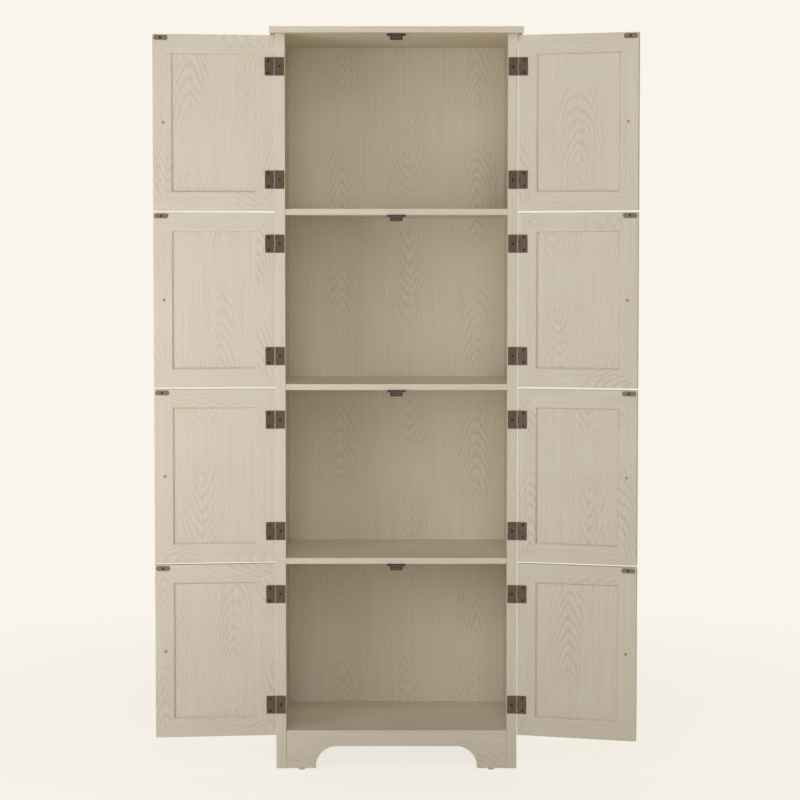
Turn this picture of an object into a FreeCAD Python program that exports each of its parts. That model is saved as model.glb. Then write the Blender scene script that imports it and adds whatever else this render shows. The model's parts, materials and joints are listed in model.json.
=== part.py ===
"""Tall storage cabinet: one open carcass with four compartments and eight framed doors.

Millimetres. The origin is on the floor at the middle of the cabinet's back, +X is the right-hand
side seen from the front, +Y points to the wall and +Z points up. The doors stand open.
"""
import FreeCAD, Part
import os
import re

import Sketcher
from FreeCAD import Vector

# Driving dimensions, in millimetres and degrees
SIZES = {
    "body_width": "595",  # across the two side panels
    "body_depth": "370",  # wall to the front of the front stiles
    "total_height": "1830",
    "board": "15",  # thickness of every carcass board
    "back_thickness": "3",
    "back_inset": "1",  # back panel inside the outline of the sides
    "top_side_overhang": "12",
    "top_front_overhang": "23.5",
    "front_stile_width": "25",
    "upper_shelf_top": "1388.5",
    "shelf_pitch": "430",
    "shelf_setback": "1.5",  # shelf edge behind the front of the stiles
    "bottom_panel_top": "98.5",
    "apron_setback": "2",
    "arch_width": "400",
    "arch_height": "55",
    "arch_radius": "52",
    "glide_height": "4",
    "glide_radius": "7.5",
    "glide_bevel": "1",
    "glide_nail_radius": "1.1",
    "glide_nail_length": "12",
    "front_glide_x": "235",
    "rear_glide_from_wall": "40",
    "door_width": "295.5",
    "door_height": "427.5",
    "door_thickness": "18",
    "door_pitch": "432",
    "door_top_gap": "4",
    "door_frame_width": "47.5",
    "door_panel_thickness": "6",
    "door_groove_depth": "7",
    "door_groove_play": "0.5",
    "door_frame_chamfer": "3",
    "left_open_angle": "174",
    "right_open_angle": "165",
    "leaf_height": "44.5",
    "leaf_width": "23.5",
    "leaf_thickness": "1.5",
    "leaf_gap": "2.2",  # between the two leaves of a closed hinge
    "leaf_corner_radius": "2",
    "axis_outset": "0.15",  # hinge axis outside the carcass and the door edge
    "barrel_radius": "2.3",
    "barrel_play": "0.45",
    "knuckle_play": "0.3",
    "pin_radius": "1.2",
    "pin_play": "0.08",
    "hinge_from_door_end": "76",
    "frame_screw_from_edge": "12",
    "door_screw_from_edge": "14.5",
    "door_screw_spread": "15",
    "screw_head_radius": "3",
    "screw_radius": "1.5",
    "screw_length": "13",
    "screw_tip": "2",
    "strike_length": "34.5",
    "strike_height": "12",
    "strike_thickness": "1.5",
    "strike_corner_radius": "5.8",
    "strike_from_free_edge": "19.5",
    "strike_from_door_top": "8.6",
    "knob_from_free_edge": "25",
    "knob_foot_radius": "8",
    "knob_foot_height": "2.5",
    "knob_neck_radius": "5.5",
    "knob_neck_height": "10",
    "knob_head_radius": "15",
    "knob_rim_height": "15.5",
    "knob_height": "23",
    "bolt_radius": "2",
    "bolt_thread_in_knob": "9",
    "bolt_head_radius": "3.75",
    "bolt_head_height": "2",
    "bolt_head_round": "1.2",
    "catch_ear_width": "46",
    "catch_ear_height": "5",
    "catch_body_width": "31",
    "catch_height": "15",
    "catch_depth": "14",
    "catch_corner_radius": "1.5",
    "catch_screw_spacing": "38.4",
    "catch_screw_from_back": "4.5",
    "pole_width": "24",
    "pole_thickness": "1.4",
    "pole_depth": "11",
    "pole_projection": "0.6",
    "pole_spacing": "6.2",
    "pole_centre_drop": "7.5",
    "magnet_recess": "1.6",
    "strike_air_gap": "0.4",
    "cam_radius": "7.5",
    "cam_height": "12",
    "cam_from_end": "24",
    "cam_bolt_radius": "3",
    "cam_bolt_in_side": "10",
    "cam_bolt_in_cam": "4",
    "cam_bore_radius": "3.6",
    "cam_front_from_stile": "70",
    "cam_rear_from_wall": "60",
}

# Places worked out from the driving dimensions
AXIS_X = "(body_width / 2 + axis_outset)"
AXIS_DROP = "(leaf_thickness + leaf_gap / 2)"
AXIS_Y = f"(-body_depth - {AXIS_DROP})"
INSIDE_X = "(body_width / 2 - board)"
STILE_BACK = "(-body_depth + board)"
BACK_PANEL_FRONT = "(-back_thickness)"
TOP_UNDERSIDE = "(total_height - board)"
APRON_BACK = "(-body_depth + apron_setback + board)"
DOOR_OUTER_FACE = f"(-{AXIS_DROP} - door_thickness)"
KNOB_X = "(axis_outset + door_width - knob_from_free_edge)"
LEAF_START = "(barrel_radius + barrel_play)"
CLOSED_STRIKE_Y = f"({AXIS_Y} - {AXIS_DROP} + strike_thickness)"
CATCH_BACK_Y = f"({CLOSED_STRIKE_Y} + strike_air_gap + pole_projection + catch_depth)"

# Turns of a placed piece
UPRIGHT = "rotation(vector(0; 0; 1); 0)"
UPSIDE_DOWN = "rotation(vector(0; 1; 0); 180)"
HALF_TURN = "rotation(vector(0; 0; 1); 180)"
DRIVEN_TO_BACK = "rotation(vector(1; 0; 0); 90)"
DRIVEN_TO_FRONT = "rotation(vector(1; 0; 0); -90)"
DRIVEN_UP = "rotation(vector(1; 0; 0); 180)"
CAM_UP_IN_LEFT_SIDE = "rotation(vector(0; 1; 0); -90)"
CAM_UP_IN_RIGHT_SIDE = f"{HALF_TURN} * {CAM_UP_IN_LEFT_SIDE}"

SIDES = ("left", "right")
SIDE_SIGN = {"left": "-1", "right": "1"}
TIERS = ("top", "upper", "lower", "bottom")
SHELVES = ("upper_shelf", "middle_shelf", "lower_shelf")

doc = FreeCAD.newDocument("StorageCabinet")
sheet = doc.addObject("Spreadsheet::Sheet", "Sizes")
nodes = []


def fill_sheet():
    """Write the driving dimensions into the sheet, one named cell each."""
    for row, (alias, value) in enumerate(SIZES.items(), 1):
        sheet.set(f"A{row}", alias)
        sheet.set(f"B{row}", value)
        sheet.setAlias(f"B{row}", alias)
    doc.recompute()


def cells(expression):
    """Point the plain names in an expression to the cells of the sheet."""
    names = r"[a-z][a-z_]*"
    return re.sub(names, lambda word: f"Sizes.{word[0]}" if word[0] in SIZES else word[0], expression)


def number(expression):
    """The present value of an expression."""
    return float(sheet.evalExpression(cells(expression)))


def bind(piece, **expressions):
    """Bind the named properties of a piece to expressions."""
    for name, expression in expressions.items():
        piece.setExpression(name, cells(expression))
    return piece


def placement(x="0", y="0", z="0", turn=UPRIGHT):
    """The expression of a place and a turn."""
    return f"placement(vector({x}; {y}; {z}); {turn})"


def node(piece, label):
    """Keep a finished sub-part under its own name."""
    piece.Label = label
    nodes.append(piece)
    return piece


def copy_of(master, *places):
    """Link a piece again at a place, or at one place within another."""
    link = doc.addObject("App::Link", f"{master.Name}_copy")
    link.LinkedObject = master
    link.LinkTransform = True
    return bind(link, Placement=" * ".join(places))


def group(name, pieces):
    """Hold separate solids together as one piece."""
    compound = doc.addObject("Part::Compound", name)
    compound.Links = pieces
    return compound


def cut(name, base, tool):
    """Take a tool's volume out of a piece."""
    result = doc.addObject("Part::Cut", name)
    result.Base = base
    result.Tool = tool
    return result


def block(name, x, y, z, length, width, height):
    """A plain board or block from its lowest corner."""
    box = doc.addObject("Part::Box", name)
    return bind(box, Length=length, Width=width, Height=height, Placement=placement(x, y, z))


def rod(name, radius, length, *places):
    """A plain round bar along its own Z axis."""
    cylinder = doc.addObject("Part::Cylinder", name)
    return bind(cylinder, Radius=radius, Height=length, Placement=" * ".join(places))


def rounded(corners):
    """Turn corners (x, y) or (x, y, radius) into outline points, with the radius of an arc that follows."""
    values = [(number(corner[0]), number(corner[1])) for corner in corners]
    points = []
    for i, corner in enumerate(corners):
        if len(corner) == 2:
            points.append((corner[0], corner[1], None))
            continue
        x, y, radius = corner
        for neighbour, arc_radius in ((i - 1, radius), ((i + 1) % len(corners), None)):
            shift = []
            for axis in (0, 1):
                step = values[neighbour][axis] - values[i][axis]
                sign = "+" if step > 0 else "-"
                shift.append(f" {sign} ({radius})" if abs(step) > 1e-6 else "")
            points.append((f"{x}{shift[0]}", f"{y}{shift[1]}", arc_radius))
    return points


def sketch_on(body, role):
    """An empty sketch on one of the body's own planes."""
    sketch = body.newObject("Sketcher::SketchObject", f"{body.Name}_sketch")
    plane = next(feature for feature in body.Origin.OriginFeatures if feature.Role == role)
    sketch.AttachmentSupport = [(plane, "")]
    sketch.MapMode = "FlatFace"
    return sketch


def hold_point(sketch, edge, end, x, y):
    """Hold one end of an edge at an expression's place."""
    for kind, expression in (("DistanceX", x), ("DistanceY", y)):
        distance = Sketcher.Constraint(kind, -1, 1, edge, end, number(expression))
        sketch.setExpression(f"Constraints[{sketch.addConstraint(distance)}]", cells(expression))


def outline(body, role, *loops):
    """Draw closed outlines, each a list of corners that may be rounded where two square edges meet."""
    sketch = sketch_on(body, role)
    for corners in loops:
        points = rounded(corners)
        places = [Vector(number(x), number(y), 0) for x, y, radius in points]
        edges = []
        for i, (x, y, radius) in enumerate(points):
            start, end = places[i], places[(i + 1) % len(places)]
            if radius is None:
                edge = sketch.addGeometry(Part.LineSegment(start, end), False)
                edges.append((edge, 1, 2))
                continue
            before, after = places[i - 1], places[(i + 2) % len(places)]
            corner = start + (start - before).normalize() * number(radius)
            bulge = (corner - (start + end) * 0.5).normalize()
            centre = start + end - corner
            arc = Part.Arc(start, centre + bulge * number(radius), end)
            edge = sketch.addGeometry(arc, False)
            forward = sketch.getPoint(edge, 1).distanceToPoint(start) < number(radius) / 2
            edges.append((edge, 1, 2) if forward else (edge, 2, 1))
        for i, (edge, first, last) in enumerate(edges):
            next_edge, next_first, _ = edges[(i + 1) % len(edges)]
            sketch.addConstraint(Sketcher.Constraint("Coincident", edge, last, next_edge, next_first))
        for (edge, first, _), (x, y, radius) in zip(edges, points):
            hold_point(sketch, edge, first, x, y)
            if radius is not None:
                size = Sketcher.Constraint("Radius", edge, number(radius))
                sketch.setExpression(f"Constraints[{sketch.addConstraint(size)}]", cells(radius))
    return sketch


def new_body(name, place=None):
    """An empty body, put in place if it isn't drawn where it belongs."""
    body = doc.addObject("PartDesign::Body", name)
    if place:
        bind(body, Placement=place)
    return body


def pad(body, sketch, length):
    """Raise a sketch into a solid."""
    feature = body.newObject("PartDesign::Pad", f"{body.Name}_pad")
    feature.Profile = sketch
    return bind(feature, Length=length)


def pocket_through(body, sketch):
    """Cut a sketch right through a solid, and make sure that it did cut."""
    doc.recompute()
    whole = body.Shape.Volume
    feature = body.newObject("PartDesign::Pocket", f"{body.Name}_pocket")
    feature.Profile = sketch
    feature.Type = "ThroughAll"
    doc.recompute()
    if body.Shape.Volume >= whole:
        raise RuntimeError(f"the pocket of {body.Name} cuts nothing")


def turn_round(body, sketch):
    """Turn a half profile round the sketch's upright axis."""
    feature = body.newObject("PartDesign::Revolution", f"{body.Name}_revolution")
    feature.Profile = sketch
    feature.ReferenceAxis = (sketch, ["V_Axis"])
    feature.Angle = 360
    return body


def make_screw():
    """Countersunk wood screw, driven along -Z with the top of its head at zero."""
    body = new_body("screw")
    profile = [
        ("0", "0"),
        ("screw_head_radius", "0"),
        ("screw_radius", "screw_radius - screw_head_radius"),
        ("screw_radius", "screw_tip - screw_length"),
        ("0", "-screw_length"),
    ]
    return turn_round(body, outline(body, "XZ_Plane", profile))


def door_middle(tier):
    """Height of the middle of a door."""
    return f"({TOP_UNDERSIDE} - door_top_gap - door_height / 2 - {tier} * door_pitch)"


def door_place(side, tier):
    """Where a door's hinge axis stands, turned to the door's open position."""
    if side == "left":
        turn = "rotation(vector(0; 0; 1); -left_open_angle)"
    else:
        turn = f"rotation(vector(0; 0; 1); right_open_angle) * {UPSIDE_DOWN}"
    return placement(f"{SIDE_SIGN[side]} * {AXIS_X}", AXIS_Y, door_middle(tier), turn)


def hinge_heights(tier):
    """Middle of the upper and the lower hinge of a door."""
    reach = "(door_height / 2 - hinge_from_door_end)"
    return [f"{door_middle(tier)} + {reach}", f"{door_middle(tier)} - {reach}"]


def leaf_plate(name, near, far):
    """Flat hinge leaf with two rounded outer corners, from its near to its far face along Y."""
    body = new_body(name, placement(y=near))
    edge = "(axis_outset + leaf_width)"
    half = "(leaf_height / 2)"
    corners = [
        (LEAF_START, f"-{half}"),
        (edge, f"-{half}", "leaf_corner_radius"),
        (edge, half, "leaf_corner_radius"),
        (LEAF_START, half),
    ]
    pad(body, outline(body, "XZ_Plane", corners), f"{near} - {far}")
    return body


def knuckle(name, foot, length, strap, bore):
    """One rolled knuckle with the strap that joins it to its leaf, bored for the pin."""
    barrel = rod(f"{name}_barrel", "barrel_radius", length, placement(z=foot))
    tangent = block(f"{name}_strap", "0", strap, foot, LEAF_START, "leaf_thickness", length)
    rolled = doc.addObject("Part::MultiFuse", f"{name}_rolled")
    rolled.Shapes = [barrel, tangent]
    return cut(f"{name}_bored", rolled, rod(f"{name}_bore", bore, length, placement(z=foot)))


def make_leaf(name, near, strap, knuckles, bore, screws):
    """A hinge leaf: plate and knuckles in one, countersunk for its screws.

    The plate starts at near along Y, and the straps of its knuckles at strap, set in to meet the barrel.
    """
    pieces = [leaf_plate(f"{name}_plate", f"({near} + leaf_thickness)", near)]
    for i, (foot, length) in enumerate(knuckles):
        pieces.append(knuckle(f"{name}_knuckle_{i}", foot, length, strap, bore))
    leaf = doc.addObject("Part::MultiFuse", f"{name}_leaf")
    leaf.Shapes = pieces
    leaf.Refine = True
    return cut(name, leaf, group(f"{name}_screw_seats", screws))


def make_hinges(screw):
    """Frame leaves on the front stiles with their pins and screws, for both sides and all doors."""
    end_length = "(leaf_height / 3 - knuckle_play / 2)"
    ends = [("-leaf_height / 2", end_length), (f"leaf_height / 2 - {end_length}", end_length)]
    seat_x = "axis_outset + frame_screw_from_edge"
    seat = copy_of(screw, placement(seat_x, "leaf_gap / 2", "0", DRIVEN_TO_BACK))
    strap = "(barrel_radius - leaf_thickness)"
    leaf = make_leaf("frame_leaf", "(leaf_gap / 2)", strap, ends, "pin_radius", [seat])
    pin = rod("hinge_pin", "pin_radius", "leaf_height", placement(z="-leaf_height / 2"))
    placed = {"hinge_frame_leaves": [], "hinge_pins": [], "hinge_frame_screws": []}
    for side, turn in zip(SIDES, (UPRIGHT, UPSIDE_DOWN)):
        for tier in range(len(TIERS)):
            for height in hinge_heights(tier):
                place = placement(f"{SIDE_SIGN[side]} * {AXIS_X}", AXIS_Y, height, turn)
                placed["hinge_frame_leaves"].append(copy_of(leaf, place))
                placed["hinge_pins"].append(copy_of(pin, place))
                placed["hinge_frame_screws"].append(copy_of(seat, place))
    for label, pieces in placed.items():
        node(group(f"{label}_group", pieces), label)
    return placed["hinge_frame_screws"]


def door_stile():
    """Upright member of a door frame, grooved for the panel and mitred at both ends."""
    body = new_body("door_stile", placement("axis_outset", DOOR_OUTER_FACE, "-door_height / 2"))
    pad(body, outline(body, "XY_Plane", member_profile()), "door_height")
    lower = [("0", "0"), ("door_frame_width", "door_frame_width"), ("door_frame_width", "0")]
    upper = [(x, f"door_height - {z}") for x, z in lower]
    pocket_through(body, outline(body, "XZ_Plane", lower, upper))
    return body


def door_rail():
    """Level member of a door frame, grooved for the panel and mitred at both ends."""
    body = new_body("door_rail", placement("axis_outset", DOOR_OUTER_FACE, "door_height / 2"))
    profile = [(thickness, f"-({width})") for width, thickness in member_profile()]
    pad(body, outline(body, "YZ_Plane", profile), "door_width")
    near = [("0", "0"), ("door_frame_width", "-door_frame_width"), ("0", "-door_frame_width")]
    far = [(f"door_width - {x}", z) for x, z in near]
    pocket_through(body, outline(body, "XZ_Plane", near, far))
    return body


def member_profile():
    """Section of a door frame member: square outside, chamfered and grooved inside."""
    groove = "(door_thickness - door_panel_thickness) / 2"
    half = [
        ("0", "0"),
        ("door_frame_width - door_frame_chamfer", "0"),
        ("door_frame_width", "door_frame_chamfer"),
        ("door_frame_width", groove),
        ("door_frame_width - door_groove_depth", groove),
    ]
    return half + [(width, f"door_thickness - ({thickness})") for width, thickness in reversed(half)]


def make_door_panel():
    """Thin panel that sits in the groove of the door frame."""
    inset = "(door_frame_width - door_groove_depth + door_groove_play)"
    return block(
        "door_panel",
        f"axis_outset + {inset}",
        f"{DOOR_OUTER_FACE} + (door_thickness - door_panel_thickness) / 2",
        f"{inset} - door_height / 2",
        f"door_width - 2 * {inset}",
        "door_panel_thickness",
        f"door_height - 2 * {inset}",
    )


def make_door_hinge_leaves(screw):
    """The two leaves on a door with their screws, and the screws by themselves."""
    third = "(leaf_height / 3)"
    middle = [(f"knuckle_play / 2 - {third} / 2", f"({third} - knuckle_play)")]
    reach = "(door_height / 2 - hinge_from_door_end)"
    x = "axis_outset + door_screw_from_edge"
    y = "-leaf_gap / 2"
    seats = []
    for z in ("door_screw_spread", "-door_screw_spread"):
        seats.append(copy_of(screw, placement(x, y, z, DRIVEN_TO_FRONT)))
    bore = "pin_radius + pin_play"
    leaf = make_leaf("door_leaf", f"(-{AXIS_DROP})", "(-barrel_radius)", middle, bore, seats)
    leaves = []
    screws = []
    for height in (reach, f"-{reach}"):
        leaves.append(copy_of(leaf, placement(z=height)))
        screws += [copy_of(seat, placement(z=height)) for seat in seats]
    return group("door_leaves", leaves + screws), screws


def make_knob():
    """Turned mushroom knob on the door's outer face, bored for its bolt."""
    body = new_body("knob_turning", placement(KNOB_X, DOOR_OUTER_FACE))
    sketch = sketch_on(body, "XY_Plane")
    profile = [
        ("0", "-knob_height"),
        ("0", "0"),
        ("knob_foot_radius", "0"),
        ("knob_foot_radius", "-knob_foot_height"),
        ("knob_neck_radius", "-knob_foot_height"),
        ("knob_neck_radius", "-knob_neck_height"),
        ("knob_head_radius", "-knob_rim_height"),
    ]
    places = [Vector(number(x), number(y), 0) for x, y in profile]
    for start, end in zip(places, places[1:]):
        sketch.addGeometry(Part.LineSegment(start, end), False)
    rim, crown = places[-1], places[0]
    rise = rim.y - crown.y
    dome_radius = (rim.x ** 2 + rise ** 2) / (2 * rise)
    centre = Vector(0, crown.y + dome_radius, 0)
    shoulder = (rim + crown) * 0.5 - centre
    dome = sketch.addGeometry(Part.Arc(rim, centre + shoulder.normalize() * dome_radius, crown), False)
    rim_end, crown_end = (1, 2) if sketch.getPoint(dome, 1).distanceToPoint(rim) < rise else (2, 1)
    for edge in range(dome - 1):
        sketch.addConstraint(Sketcher.Constraint("Coincident", edge, 2, edge + 1, 1))
    sketch.addConstraint(Sketcher.Constraint("Coincident", dome - 1, 2, dome, rim_end))
    sketch.addConstraint(Sketcher.Constraint("Coincident", dome, crown_end, 0, 1))
    sketch.addConstraint(Sketcher.Constraint("PointOnObject", dome, 3, -2))
    for edge, (x, y) in enumerate(profile[:-1]):
        hold_point(sketch, edge, 1, x, y)
    hold_point(sketch, dome - 1, 2, *profile[-1])
    return turn_round(body, sketch)


def make_knob_bolt():
    """Bolt from the door's inner face into the knob, with a low round head."""
    body = new_body("knob_bolt", placement(KNOB_X, DOOR_OUTER_FACE))
    crown = "door_thickness + bolt_head_height"
    profile = [
        ("0", "-bolt_thread_in_knob"),
        ("bolt_radius", "-bolt_thread_in_knob"),
        ("bolt_radius", "door_thickness"),
        ("bolt_head_radius", "door_thickness"),
        ("bolt_head_radius", crown, "bolt_head_round"),
        ("0", crown),
    ]
    return turn_round(body, outline(body, "XY_Plane", profile))


def make_strike(screw):
    """Round-ended strike plate with its screw, lying on the door's inner face about its own middle."""
    body = new_body("strike_blank", placement(y=f"strike_thickness - {AXIS_DROP}"))
    half_length = "(strike_length / 2)"
    half_height = "(strike_height / 2)"
    corners = [
        (f"-{half_length}", f"-{half_height}", "strike_corner_radius"),
        (half_length, f"-{half_height}", "strike_corner_radius"),
        (half_length, half_height, "strike_corner_radius"),
        (f"-{half_length}", half_height, "strike_corner_radius"),
    ]
    pad(body, outline(body, "XZ_Plane", corners), "strike_thickness")
    seat = copy_of(screw, placement(y=f"strike_thickness - {AXIS_DROP}", turn=DRIVEN_TO_FRONT))
    plate = cut("strike_plate", body, seat)
    return group("strike", [plate, seat]), seat


def make_doors(screw):
    """Eight doors: frame, panel, hinge leaves, knob and strike plate of each."""
    opposite = placement("2 * axis_outset + door_width", turn=UPSIDE_DOWN)
    members = []
    for member in (door_stile(), door_rail()):
        members += [member, copy_of(member, opposite)]
    panel = make_door_panel()
    leaves, screws = make_door_hinge_leaves(screw)
    bolt = make_knob_bolt()
    knob = group("knob", [cut("bored_knob", make_knob(), bolt), bolt])
    strike, strike_screw = make_strike(screw)
    for side in SIDES:
        up = "1" if side == "left" else "-1"
        strike_x = "axis_outset + door_width - strike_from_free_edge"
        strike_place = placement(strike_x, "0", f"{up} * (door_height / 2 - strike_from_door_top)")
        drilled = group(f"{side}_door_drillings", screws + [bolt, copy_of(strike_screw, strike_place)])
        frame = cut(f"{side}_door_frame", group(f"{side}_door_members", members), drilled)
        for tier, tier_name in enumerate(TIERS):
            place = door_place(side, tier)
            name = f"{tier_name}_{side}_door"
            node(copy_of(frame, place), f"{name}_frame")
            node(copy_of(panel, place), f"{name}_panel")
            node(copy_of(leaves, place), f"{name}_hinge_leaves")
            node(copy_of(knob, place), f"{name}_knob")
            node(copy_of(strike, place, strike_place), f"{name}_strike_plate")


def make_catches(screw):
    """Magnetic catches under the top and the shelves: housing, two pole plates, magnet and screws."""
    body = new_body("catch_shell")
    ear = "(catch_ear_width / 2)"
    half = "(catch_body_width / 2)"
    corners = [
        (f"-{ear}", "0"),
        (f"-{ear}", "-catch_ear_height", "catch_corner_radius"),
        (f"-{half}", "-catch_ear_height"),
        (f"-{half}", "-catch_height", "catch_corner_radius"),
        (half, "-catch_height", "catch_corner_radius"),
        (half, "-catch_ear_height"),
        (ear, "-catch_ear_height", "catch_corner_radius"),
        (ear, "0"),
    ]
    pad(body, outline(body, "XZ_Plane", corners), "catch_depth")
    left = "-pole_width / 2"
    back = "-catch_depth + pole_depth"
    full = "(pole_spacing + pole_thickness)"
    lowest = f"(-pole_centre_drop - {full} / 2)"
    inside = "(pole_spacing - pole_thickness)"
    hollow = block("catch_hollow", left, "-catch_depth", lowest, "pole_width", "pole_depth", full)
    pole_front = "-catch_depth - pole_projection"
    pole_length = "pole_depth + pole_projection"
    sizes = ("pole_width", pole_length, "pole_thickness")
    lower_pole = block("lower_pole", left, pole_front, lowest, *sizes)
    upper_pole = copy_of(lower_pole, placement(z="pole_spacing"))
    magnet = block(
        "catch_magnet",
        left,
        "magnet_recess - catch_depth",
        f"{lowest} + pole_thickness",
        "pole_width",
        f"{back} + catch_depth - magnet_recess",
        inside,
    )
    seats = []
    for x in ("-catch_screw_spacing / 2", "catch_screw_spacing / 2"):
        seats.append(copy_of(screw, placement(x, "-catch_screw_from_back", "-catch_ear_height", DRIVEN_UP)))
    shell = cut("catch_housing", body, group("catch_cuts", [hollow] + seats))
    undersides = [TOP_UNDERSIDE] + [shelf_underside(i) for i in range(len(SHELVES))]
    placed = {"catch_housings": [], "catch_pole_plates": [], "catch_magnets": [], "catch_screws": []}
    for underside in undersides:
        place = placement("0", CATCH_BACK_Y, underside)
        placed["catch_housings"].append(copy_of(shell, place))
        placed["catch_pole_plates"] += [copy_of(pole, place) for pole in (lower_pole, upper_pole)]
        placed["catch_magnets"].append(copy_of(magnet, place))
        placed["catch_screws"] += [copy_of(seat, place) for seat in seats]
    for label, pieces in placed.items():
        node(group(f"{label}_group", pieces), label)
    return seats, placed["catch_screws"]


def shelf_underside(i):
    """Height of the underside of a fixed shelf, counted from the top."""
    return f"(upper_shelf_top - {i} * shelf_pitch - board)"


def make_cam_set():
    """Cam lock and its bolt for a board that ends at X zero, with the drill that makes room for both.

    The board lies to the -X side with its underside at Z zero, the side panel to the +X side.
    """
    centre = "-cam_from_end"
    disc = rod("cam_disc", "cam_radius", "cam_height", placement(centre))
    along_x = "rotation(vector(0; 1; 0); 90)"
    bore_place = placement(centre, "0", "board / 2", along_x)
    bore = rod("cam_bore", "cam_bore_radius", "cam_from_end", bore_place)
    lock = cut("cam_lock", disc, bore)
    reach = "(cam_from_end - cam_radius + cam_bolt_in_cam)"
    bolt_place = placement(f"-{reach}", "0", "board / 2", along_x)
    bolt = rod("cam_bolt", "cam_bolt_radius", f"{reach} + cam_bolt_in_side", bolt_place)
    drill = doc.addObject("Part::MultiFuse", "cam_drill")
    drill.Shapes = [disc, bore]
    return lock, bolt, drill


def make_cam_fittings():
    """Cam fittings of the fixed shelves, the bottom panel and the top panel, with their drillings."""
    lock, bolt, drill = make_cam_set()
    rows = (f"{STILE_BACK} + cam_front_from_stile", "-cam_rear_from_wall")
    undersides = [shelf_underside(i) for i in range(len(SHELVES))] + ["(bottom_panel_top - board)"]
    fittings = []
    bolts = []
    side_drills = []
    for y in rows:
        for x, turn in ((INSIDE_X, UPRIGHT), (f"-{INSIDE_X}", HALF_TURN)):
            for underside in undersides:
                place = placement(x, y, underside, turn)
                fittings.append(copy_of(lock, place))
                bolts.append(copy_of(bolt, place))
        for x, turn in ((INSIDE_X, CAM_UP_IN_RIGHT_SIDE), (f"-{INSIDE_X}", CAM_UP_IN_LEFT_SIDE)):
            place = placement(x, y, TOP_UNDERSIDE, turn)
            fittings.append(copy_of(lock, place))
            bolts.append(copy_of(bolt, place))
            side_drills.append(copy_of(drill, place))
    node(group("cam_fittings_group", fittings + bolts), "cam_fittings")
    board_drills = []
    for y in rows:
        for x, turn in ((INSIDE_X, UPRIGHT), (f"-{INSIDE_X}", HALF_TURN)):
            board_drills.append(copy_of(drill, placement(x, y, "0", turn)))
    return board_drills, bolts, side_drills


def make_glides():
    """Four nail-in floor glides: two under the apron's feet and two under the sides at the back."""
    body = new_body("glide")
    profile = [
        ("0", "0"),
        ("glide_radius - glide_bevel", "0"),
        ("glide_radius", "glide_bevel"),
        ("glide_radius", "glide_height"),
        ("glide_nail_radius", "glide_height"),
        ("glide_nail_radius", "glide_height + glide_nail_length"),
        ("0", "glide_height + glide_nail_length"),
    ]
    turn_round(body, outline(body, "XZ_Plane", profile))
    front_y = f"{APRON_BACK} - board / 2"
    side_x = "(body_width - board) / 2"
    glides = []
    for side in SIDES:
        sign = SIDE_SIGN[side]
        glides.append(copy_of(body, placement(f"{sign} * front_glide_x", front_y)))
        glides.append(copy_of(body, placement(f"{sign} * {side_x}", "-rear_glide_from_wall")))
    return node(group("floor_glides_group", glides), "floor_glides")


def make_top_and_back(bolts, catch_screws):
    """Top panel over everything and thin back panel on the rear edges."""
    top = block(
        "top_board",
        "-body_width / 2 - top_side_overhang",
        "-body_depth - top_front_overhang",
        TOP_UNDERSIDE,
        "body_width + 2 * top_side_overhang",
        "body_depth + top_front_overhang",
        "board",
    )
    node(cut("top_drilled", top, group("top_drillings", bolts + catch_screws)), "top_panel")
    back = block(
        "back_board",
        "back_inset - body_width / 2",
        BACK_PANEL_FRONT,
        "glide_height + 2 * back_inset",
        "body_width - 2 * back_inset",
        "back_thickness",
        f"{TOP_UNDERSIDE} - glide_height - 2 * back_inset",
    )
    node(back, "back_panel")


def make_sides(bolts, side_drills, glides, frame_screws):
    """Side panels and the front stiles that cover their front edges."""
    height = f"{TOP_UNDERSIDE} - glide_height"
    for side in SIDES:
        panel_x = f"-{INSIDE_X} - board" if side == "left" else INSIDE_X
        panel = block(
            f"{side}_side_board",
            panel_x,
            STILE_BACK,
            "glide_height",
            "board",
            f"{BACK_PANEL_FRONT} - {STILE_BACK}",
            height,
        )
        drilled = group(f"{side}_side_drillings", bolts + side_drills + [glides])
        node(cut(f"{side}_side_drilled", panel, drilled), f"{side}_side_panel")
        stile_x = "-body_width / 2" if side == "left" else "body_width / 2 - front_stile_width"
        stile = block(
            f"{side}_stile_board",
            stile_x,
            "-body_depth",
            "glide_height",
            "front_stile_width",
            "board",
            height,
        )
        pilots = group(f"{side}_stile_drillings", frame_screws)
        node(cut(f"{side}_stile_drilled", stile, pilots), f"{side}_front_stile")


def make_shelves(board_drills, catch_seats):
    """Three fixed shelves, notched round the front stiles, and the bottom panel."""
    body = new_body("shelf_board")
    opening = "(body_width / 2 - front_stile_width)"
    front = "(-body_depth + shelf_setback)"
    corners = [
        (f"-{opening}", front),
        (opening, front),
        (opening, STILE_BACK),
        (INSIDE_X, STILE_BACK),
        (INSIDE_X, BACK_PANEL_FRONT),
        (f"-{INSIDE_X}", BACK_PANEL_FRONT),
        (f"-{INSIDE_X}", STILE_BACK),
        (f"-{opening}", STILE_BACK),
    ]
    pad(body, outline(body, "XY_Plane", corners), "board")
    catch_pilots = [copy_of(seat, placement(y=CATCH_BACK_Y)) for seat in catch_seats]
    shelf = cut("shelf", body, group("shelf_drillings", board_drills + catch_pilots))
    for i, label in enumerate(SHELVES):
        node(copy_of(shelf, placement(z=shelf_underside(i))), label)
    board = block(
        "bottom_board",
        f"-{INSIDE_X}",
        APRON_BACK,
        "0",
        f"2 * {INSIDE_X}",
        f"{BACK_PANEL_FRONT} - {APRON_BACK}",
        "board",
    )
    bottom = cut("bottom_drilled", board, group("bottom_drillings", board_drills))
    node(copy_of(bottom, placement(z="bottom_panel_top - board")), "bottom_panel")


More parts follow.
